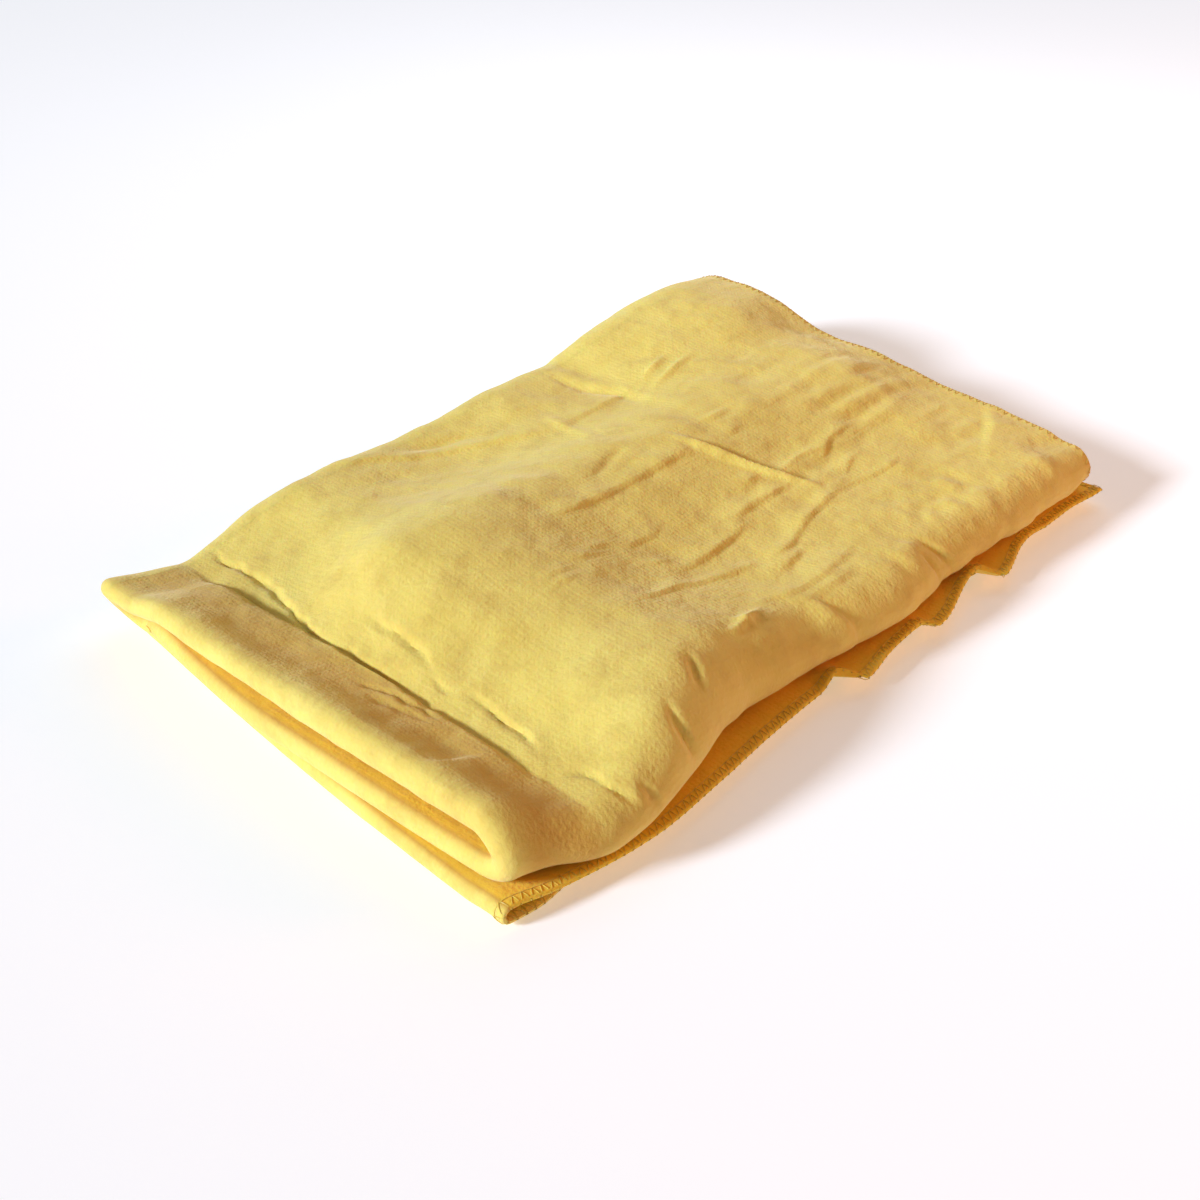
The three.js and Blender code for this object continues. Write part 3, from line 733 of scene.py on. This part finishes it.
def shell_mesh(name, outer, inner, flat, painted_shade):
    """A closed mesh from the grid of the outer face and every third point of the inner one."""
    rows, columns = outer.shape[:2]
    inner, inner_flat = inner[::STEP, ::STEP], flat[::STEP, ::STEP]
    fine = np.arange(rows * columns).reshape(rows, columns)
    coarse = rows * columns + np.arange(inner.shape[0] * inner.shape[1]).reshape(inner.shape[:2])
    quads = lambda g: np.stack([g[:-1, :-1], g[1:, :-1], g[1:, 1:], g[:-1, 1:]], -1).reshape(-1, 4)
    faces = quads(fine).tolist() + quads(coarse)[:, ::-1].tolist()
    faces += border(fine[0], coarse[0]) + border(fine[-1][::-1], coarse[-1][::-1])
    faces += border(fine[:, -1], coarse[:, -1]) + border(fine[::-1, 0], coarse[::-1, 0])
    points = np.concatenate([outer.reshape(-1, 3), inner.reshape(-1, 3)]) / 1000
    places = np.concatenate([flat.reshape(-1, 3), inner_flat.reshape(-1, 3)])
    piece = mesh_object(name, points, faces, places)
    # The share of painted shade is stored on every point, and on every third point of the inner face.
    made = piece.data.attributes.new("painted_shade", "FLOAT", "POINT")
    made.data.foreach_set("value", np.append(painted_shade, painted_shade[::STEP, ::STEP]).astype(np.float32))
    return piece


def cloth_piece(name, parts, rows):
    """One sheet over one or two stretches in a row: parts is a list of stretch and shares."""
    grids = []
    for face in (1, -1):
        made = [cloth_face(stretch, s, rows, face) for stretch, s in parts]
        grids.append([np.concatenate([m[k] for m in made], 1) for k in (0, 1, 2)])
    piece = shell_mesh(name, grids[0][0], grids[1][0], *grids[0][1:])
    points = grids[0][0]
    wide = np.linalg.norm(np.diff(points, axis=1), axis=-1).sum(1).mean()
    long = np.linalg.norm(np.diff(points, axis=0), axis=-1).sum(0).mean()
    print(name, "faces", len(piece.data.polygons), "flat mm", round(wide), "x", round(long))
    return piece, (wide / 1000, long / 1000)


# %% [markdown]
# The one cloth is made as three sheets, because three bodies carry it: the bottom with the left fold,
# the top with the right fold, and the tucked third. The bottom and the top share the rows of their
# outer plies, so their points fall on each other and no gap shows along that seam. The tucked third
# is hidden in the roll, so its mesh is coarser.

# %% The three sheets
def shares(count, start=False, end=False):
    """Even shares of a stretch, with close steps at a cut edge."""
    even = np.linspace(0, 1, count)
    close = EDGE_STEPS / WIDE
    if start:
        even = np.concatenate([close, np.linspace(close[-1], 1, count - len(close) + 1)[1:]])
    if end:
        even = 1 - shares(count, start=True)[::-1]
    return even


FINE_ROWS = 310  # on the outer ply, so that both sides of the left fold's seam have the same points
TURN_ROWS = 12
BOTTOM_ROWS = stations(FINE_ROWS, TURN_ROWS, 171)
TUCK_ROWS = stations(103, 11, 103)
bottom_cloth, bottom_flat = cloth_piece(
    "bottom_cloth", [("bottom", shares(95, start=True)), ("left", shares(33)[1:])], BOTTOM_ROWS)
top_cloth, top_flat = cloth_piece(
    "top_cloth", [("top", shares(172)), ("right", shares(48)[1:])], stations(FINE_ROWS, TURN_ROWS, 62))
tuck_cloth, tuck_flat = cloth_piece("tucked_cloth", [("tuck", shares(79, end=True))], TUCK_ROWS)


# %% [markdown]
# Every cut edge is overlocked: two looper threads swing from the edge to a needle thread and back,
# one on each face, and lock at the edge. Each thread is a thin tube along a path. The edge and a
# line just inside it come from the cloth itself, so the stitches follow its waves and folds.

# %% Paths of the overlock threads
STITCH = 2.6  # length of a stitch
STITCH_DEPTH = 2.7
STITCH_POINTS = 10  # along one stitch
THREAD = 0.22  # diameter
THREAD_SIDES = 5
EDGE_ROOM = 0.2  # how far the loops stand out from the edge


def tube(path, aside):
    """A five-sided tube: rings across the path, with their first side towards a given vector."""
    ahead = unit(np.gradient(path, axis=0))
    first = unit(aside - (aside * ahead).sum(1, keepdims=True) * ahead)
    second = np.cross(ahead, first)
    angles = 2 * np.pi * np.arange(THREAD_SIDES) / THREAD_SIDES
    ring = np.cos(angles)[:, None] * first[:, None] + np.sin(angles)[:, None] * second[:, None]
    return path[:, None] + THREAD / 2 * ring


def overlock(edge, inside, seed):
    """Tubes of two loopers and a needle thread along an edge, given with a line inside it.

    A looper's depth swings as a cosine from just outside the edge to the needle line, and its height
    over the middle of the ply is the ply's half thickness there plus its own radius.
    """
    legs = np.linalg.norm(np.diff(edge, axis=0), axis=1)
    lengths = np.concatenate([[0], np.cumsum(legs)])
    stitches = round(lengths[-1] / STITCH)
    t = np.linspace(0, stitches, stitches * STITCH_POINTS + 1)
    shares_in, shares_out = lengths / lengths[-1], t / stitches
    along = lambda p: np.stack([np.interp(shares_out, shares_in, p[:, k]) for k in range(3)], 1)
    place, inwards = along(edge), unit(along(inside - edge))
    ahead = unit(np.gradient(place, axis=0))
    upwards = np.cross(ahead, inwards)
    swing = 0.5 - 0.5 * np.cos(2 * np.pi * t)
    reach = STITCH_DEPTH * np.random.default_rng(seed).uniform(0.8, 1.1, stitches + 1)[t.astype(int)]
    depth = mix(-EDGE_ROOM, reach, swing)
    height = CLOTH / 2 * rim_thickness(np.maximum(depth, 0)) + THREAD / 2
    height = height * ramp(-EDGE_ROOM - 0.05, 0.4, depth)
    slant = (0.3 * STITCH * swing)[:, None] * ahead
    loop = lambda face: place + slant + depth[:, None] * inwards + (face * height)[:, None] * upwards
    pressed = CLOTH / 2 + THREAD * (0.15 + 0.35 * np.cos(np.pi * t) ** 2)
    needle = place + STITCH_DEPTH * inwards + pressed[:, None] * upwards
    return [tube(loop(1), ahead), tube(loop(-1), ahead), tube(needle[::2], upwards[::2])]


print("points on 100 mm of a looper thread:", round(100 / STITCH) * STITCH_POINTS)


# %% [markdown]
# The bottom and the tucked third each have a cut side that runs around the near fold, and all the
# thirds have two far edges, one for each ply. The thread of a sheet is one mesh, so that it moves
# with its sheet.

# %% Edges and thread pieces
def side_edge(name, s, inner, rows):
    """A cut side of a stretch, from the far edge around the near fold and back."""
    faces = cloth_face(name, np.array([s, inner]), rows, 0)[0]
    return faces[:, 0], faces[:, 1]


def far_edge(names, side):
    """The far cut edge of one ply over some stretches, and a line inside it."""
    share = np.array([[0], [STITCH_DEPTH / PACK_LENGTH]])
    rows = dict(side=np.full((2, 1), side), share=share, angle=np.zeros((2, 1)))
    made = np.concatenate([cloth_face(name, np.linspace(0, 1, 80), rows, 0)[0] for name in names], 1)
    keep = np.concatenate([[True], np.linalg.norm(np.diff(made[0], axis=0), axis=1) > 1e-6])
    return made[0][keep], made[1][keep]


def thread_piece(name, edges):
    """All the thread on the edges of one sheet, as one mesh of closed tubes."""
    points, faces, count = [], [], 0
    for seed, edge in enumerate(edges):
        for rings in overlock(*edge, seed):
            grid = count + np.arange(rings.shape[0] * THREAD_SIDES).reshape(-1, THREAD_SIDES)
            after = np.roll(grid, -1, axis=1)
            quads = np.stack([grid[:-1], after[:-1], after[1:], grid[1:]], -1)
            faces += quads.reshape(-1, 4).tolist() + [grid[0][::-1].tolist(), grid[-1].tolist()]
            points.append(rings.reshape(-1, 3))
            count += grid.size
    points = np.concatenate(points)
    piece = mesh_object(name, points / 1000, faces, points)
    print(name, "faces", len(faces))
    return piece


bottom_thread = thread_piece("bottom_overlock_thread", [
    side_edge("bottom", 0, STITCH_DEPTH / WIDE, BOTTOM_ROWS),
    far_edge(["bottom", "left"], 1), far_edge(["bottom", "left"], -1)])
top_thread = thread_piece("top_overlock_thread", [far_edge(["top", "right"], side) for side in (1, -1)])
tuck_thread = thread_piece("tucked_overlock_thread", [
    side_edge("tuck", 1, 1 - STITCH_DEPTH / WIDE, TUCK_ROWS),
    far_edge(["tuck"], 1), far_edge(["tuck"], -1)])


# %% [markdown]
# A colour is written as an sRGB hex value, as it would be read off a screen, and Blender's shaders
# want it linear. Nodes could be added and linked by hand, one line for each socket. One small
# function does it all: it adds a node, sets its properties, and sets or links its inputs.

# %% Colours and nodes
def linear(colour):
    """An sRGB hex colour as linear RGBA."""
    c = np.array([int(colour[k:k + 2], 16) for k in (1, 3, 5)]) / 255
    return [*np.where(c <= 0.04045, c / 12.92, ((c + 0.055) / 1.055) ** 2.4), 1]


def node(tree, kind, settings=None, **inputs):
    """Adds a node, sets its properties, and sets or links its inputs."""
    made = tree.nodes.new(kind)
    for key, value in (settings or {}).items():
        setattr(made, key, value)
    for key, value in inputs.items():
        socket = made.inputs[key.replace("_", " ")]
        if isinstance(value, bpy.types.NodeSocket):
            tree.links.new(value, socket)
        else:
            socket.default_value = value
    return made


def new_material(name):
    """A new material, its node tree and its shader."""
    material = bpy.data.materials.new(name)
    material.use_nodes = True
    return material, material.node_tree, material.node_tree.nodes["Principled BSDF"]


print("the cloth's light yellow as linear RGBA:", np.round(linear("#F6E27C"), 3))


# %% [markdown]
# The cloth is needled viscose, soaked with a binder and embossed between rollers. Such a cloth is
# matt and a little uneven in colour: cloudy yellow, with patches that are worn to tan. Over that,
# shade is painted in: the lip and the right fold are painted tan where they turn from the light, and
# deep in the roll the cloth is painted amber, for shade and for light that has come through the cloth.
# A photograph could be laid over the cloth, but then it would carry one light and one shade for ever.
# The noise of the right sizes has neither, but the painted tan and amber stay where they are in every pose.

# %% Colour of the cloth
CLOUD = 0.022  # metres, the size of the cloudy patches
MOTTLE = 0.009  # the size of the tan patches and soft dents
COLOUR_MIX = dict(data_type="RGBA")


def chamois_colour(tree, clouds, mottle):
    """Yellow clouds, then tan patches, then painted shade: tan and amber by the share stored at each point.
    """
    cloudy = node(tree, "ShaderNodeMix", COLOUR_MIX, Factor=clouds, A=linear("#DBBB52"), B=linear("#F6E27C"))
    patches = node(tree, "ShaderNodeMapRange", Value=mottle, From_Min=0.5, From_Max=0.72, To_Max=0.4)
    tanned = node(tree, "ShaderNodeMix", COLOUR_MIX, Factor=patches.outputs["Result"],
                  A=cloudy.outputs["Result"], B=linear("#C79F4C"))
    # Painted shade: this stored share turns the cloth tan and then amber where it lies in shade or deep in
    # the roll.
    painted_shade = node(tree, "ShaderNodeAttribute", dict(attribute_name="painted_shade")).outputs["Fac"]
    depth = node(tree, "ShaderNodeMapRange", Value=painted_shade, From_Min=PAINTED_TAN_SHARE)
    painted_shade_colour = node(tree, "ShaderNodeMix", COLOUR_MIX, Factor=depth.outputs["Result"],
                A=linear("#C98F35"), B=linear("#F4CB42"))
    deep = node(tree, "ShaderNodeMix", COLOUR_MIX, Factor=painted_shade, A=tanned.outputs["Result"],
                B=painted_shade_colour.outputs["Result"])
    return deep.outputs["Result"]


print("clouds of", 1000 * CLOUD, "mm and tan patches of", 1000 * MOTTLE, "mm")

# %% [markdown]
# Under the hand the cloth has soft dents, the faint check that the rollers pressed into it, small
# pits and short fibres. They are too shallow for the mesh, so each is a bump on top of the last. The
# others use the places of the folded cloth, where no noise is stretched.

# %% Relief of the cloth
DIMPLE = 0.0014  # spacing of the embossed check
PIT = 0.0035  # spacing of the soft pits
FIBRE = 0.0006  # thicker than real fibres, which are too fine to show
BANDS = 20 / (2 * math.pi)  # bands of a wave texture to a unit of its scale


def chamois_relief(tree, flat, folded, mottle):
    """The normal after four bumps: dents, the check, pits and fibres, in metres of height."""
    check = [node(tree, "ShaderNodeTexWave", dict(bands_direction=axis), Vector=flat,
                  Scale=1 / (BANDS * DIMPLE), Distortion=0.6, Detail=1.0).outputs["Fac"] for axis in "XY"]
    dimples = node(tree, "ShaderNodeMath", dict(operation="MULTIPLY"))
    tree.links.new(check[0], dimples.inputs[0])
    tree.links.new(check[1], dimples.inputs[1])
    pits = node(tree, "ShaderNodeTexNoise", Vector=folded, Scale=1 / PIT, Detail=2.0, Roughness=0.5)
    fibres = node(tree, "ShaderNodeTexNoise", Vector=folded, Scale=1 / FIBRE, Detail=3.0, Roughness=0.7)
    dents = node(tree, "ShaderNodeBump", Strength=0.45, Distance=0.0022, Height=mottle)
    embossed = node(tree, "ShaderNodeBump", Strength=0.18, Distance=0.00025, Height=dimples.outputs[0],
                    Normal=dents.outputs["Normal"])
    pitted = node(tree, "ShaderNodeBump", Strength=0.16, Distance=0.0006, Height=pits.outputs["Fac"],
                  Normal=embossed.outputs["Normal"])
    fuzzy = node(tree, "ShaderNodeBump", Strength=0.12, Distance=0.0002, Height=fibres.outputs["Fac"],
                 Normal=pitted.outputs["Normal"])
    return fuzzy.outputs["Normal"]


print("a check of", 1000 * DIMPLE, "mm, pits of", 1000 * PIT, "mm and fibres of", 1000 * FIBRE, "mm")

# %% [markdown]
# The shader joins them. Short fibres give a pale bloom where light grazes the cloth, which is sheen,
# and a millimetre and a half of soft cloth lets some light through, which is subsurface scattering:
# red goes furthest and blue hardly at all.

# %% The chamois
CHAMOIS = {
    "IOR": 1.45,
    "Specular IOR Level": 0.25,
    "Sheen Weight": 0.35,
    "Sheen Roughness": 0.45,
    "Sheen Tint": linear("#FFF4CF"),
    "Subsurface Weight": 0.3,
    "Subsurface Radius": (1.0, 0.4, 0.08),
    "Subsurface Scale": CLOTH / 1000,
}


def chamois_material():
    """Needled viscose, embossed: matt, soft and a little see-through."""
    material, tree, shader = new_material("needled_viscose_chamois")
    flat = node(tree, "ShaderNodeAttribute", dict(attribute_name="flat")).outputs["Vector"]
    folded = node(tree, "ShaderNodeAttribute", dict(attribute_name="folded")).outputs["Vector"]
    clouds = node(tree, "ShaderNodeTexNoise", Vector=folded, Scale=1 / CLOUD, Detail=4.0,
                  Roughness=0.6).outputs["Fac"]
    mottle = node(tree, "ShaderNodeTexNoise", Vector=folded, Scale=1 / MOTTLE, Detail=5.0,
                  Roughness=0.65).outputs["Fac"]
    matt = node(tree, "ShaderNodeMapRange", Value=clouds, To_Min=0.78, To_Max=0.92)
    tree.links.new(chamois_colour(tree, clouds, mottle), shader.inputs["Base Color"])
    tree.links.new(chamois_relief(tree, flat, folded, mottle), shader.inputs["Normal"])
    tree.links.new(matt.outputs["Result"], shader.inputs["Roughness"])
    for key, value in CHAMOIS.items():
        shader.inputs[key].default_value = value
    return material


chamois = chamois_material()
for piece in (bottom_cloth, top_cloth, tuck_cloth):
    piece.data.materials.append(chamois)
print(chamois.name, "nodes", len(chamois.node_tree.nodes))


# %% [markdown]
# The thread is spun polyester. It is smoother than the cloth, so it catches small lights, and its
# yellow changes a little from stitch to stitch, as the twist turns.

# %% The sewing thread
def thread_material():
    """Spun polyester: two yellows in spots as long as a stitch, half matt."""
    material, tree, shader = new_material("spun_polyester_thread")
    flat = node(tree, "ShaderNodeAttribute", dict(attribute_name="flat")).outputs["Vector"]
    spots = node(tree, "ShaderNodeTexNoise", Vector=flat, Scale=1000 / STITCH, Detail=3.0)
    colour = node(tree, "ShaderNodeMix", COLOUR_MIX, Factor=spots.outputs["Fac"],
                  A=linear("#C9A22E"), B=linear("#F7DD62"))
    tree.links.new(colour.outputs["Result"], shader.inputs["Base Color"])
    shader.inputs["Roughness"].default_value = 0.42
    shader.inputs["Sheen Weight"].default_value = 0.15
    return material


thread = thread_material()
for piece in (bottom_thread, top_thread, tuck_thread):
    piece.data.materials.append(thread)
print(thread.name, "nodes", len(thread.node_tree.nodes))

# %% [markdown]
# The photograph has soft light from the left, low enough to show each crease, and a white ground.
# Light from all around would drown the creases, and one lamp alone would leave the shades black. So
# the key is a sun with a wide disc, a lamp at the far side lifts the slope, and a warm fill
# gives the shaded right side the glow of light that has come through the cloth.

# %% Light
scene = bpy.context.scene
scene.view_settings.view_transform = "Standard"
scene.world = bpy.data.worlds.new("studio")
scene.world.use_nodes = True
background = scene.world.node_tree.nodes["Background"]
background.inputs["Color"].default_value = linear("#FFF4E4")
background.inputs["Strength"].default_value = 0.16


def lamp(name, kind, place, aim, colour, **settings):
    """A lamp of a kind and colour at a place, turned towards an aim."""
    light = bpy.data.lights.new(name, kind)
    light.color = linear(colour)[:3]
    for key, value in settings.items():
        setattr(light, key, value)
    made = bpy.data.objects.new(name, light)
    made.location = place
    made.rotation_euler = (Vector(aim) - Vector(place)).to_track_quat("-Z", "Y").to_euler()
    scene.collection.objects.link(made)
    print(name, "at", place, settings)


lamp("key", "SUN", (-2.4, 0.9, 1.15), (0, 0, 0), "#E2EBFC", angle=0.2, energy=4.45)
lamp("far_lamp", "AREA", (0.3, 0.15, 0.4), (-0.02, 0, 0.01), "#F2F8FF", size=0.5, energy=0.65)
lamp("amber_fill", "AREA", (0.5, -0.6, 0.34), (0, -0.05, 0), "#FF8E20", size=0.3, energy=2.2)

# %% [markdown]
# The floor is white paper on a light table: it glows a little, so the shadows on it stay pale. It is
# so wide that its end lies at the horizon in low views.

# %% Floor
FLOOR_REACH = 20  # metres to each side
FLOOR_Z = -0.0002  # just under the cloth
corners = [(i * FLOOR_REACH, j * FLOOR_REACH, FLOOR_Z) for i, j in ((-1, -1), (1, -1), (1, 1), (-1, 1))]
floor = bpy.data.objects.new("floor", bpy.data.meshes.new("floor"))
floor.data.from_pydata(corners, [], [(0, 1, 2, 3)])
paper, _, paper_shader = new_material("white_paper_on_light_table")
paper_shader.inputs["Base Color"].default_value = linear("#F7F8F8")
paper_shader.inputs["Roughness"].default_value = 0.9
paper_shader.inputs["Emission Color"].default_value = linear("#FBFAF8")
paper_shader.inputs["Emission Strength"].default_value = 0.28
floor.data.materials.append(paper)
scene.collection.objects.link(floor)
floor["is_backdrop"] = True
print("floor corners in metres:", corners)

# %% [markdown]
# Three bodies move, one for each third. A sheet that ends in a fold crosses a joint. It could be cut
# there, but cloth has no hinge, so it is left whole. Here the bottom and the top sheets, with their
# threads, have their places baked into their meshes, and only the tucked third and its thread are
# attached to a body.

# %% Bodies: the tucked third is attached, the others are baked in place
for piece in (bottom_cloth, bottom_thread):
    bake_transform(piece)
for piece in (top_cloth, top_thread):
    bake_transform(piece)
for piece in (tuck_cloth, tuck_thread):
    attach(piece, "tuck")

# %% [markdown]
# Every solid of the imported model is soft, so each is hidden behind the piece that stands for it.
# The print gives how wide the whole cloth is when it is laid flat.

# %% Hiding the solids that the pieces stand for
PLIES = ("inner", "outer")
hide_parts("bottom_panel", "left_fold")
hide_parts("top_panel", "right_fold")
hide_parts("tucked_panel")
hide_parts("bottom_side_stitching", *[f"bottom_end_stitching_{ply}" for ply in PLIES],
            *[f"left_fold_stitching_{ply}" for ply in PLIES])
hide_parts(*[f"top_end_stitching_{ply}" for ply in PLIES],
            *[f"right_fold_stitching_{ply}" for ply in PLIES])
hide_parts("tucked_side_stitching", *[f"tucked_end_stitching_{ply}" for ply in PLIES])
print("the whole cloth is", round(1000 * (bottom_flat[0] + top_flat[0] + tuck_flat[0])), "mm wide")

# %% [markdown]
# Cloth may stand a little proud of its solid, but the part keeps its size. Both boxes are kept and
# printed.

# %% Sizes
visual_box = [list(corner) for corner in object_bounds()]
print("visual box in mm:", [[round(1000 * v, 1) for v in corner] for corner in visual_box])
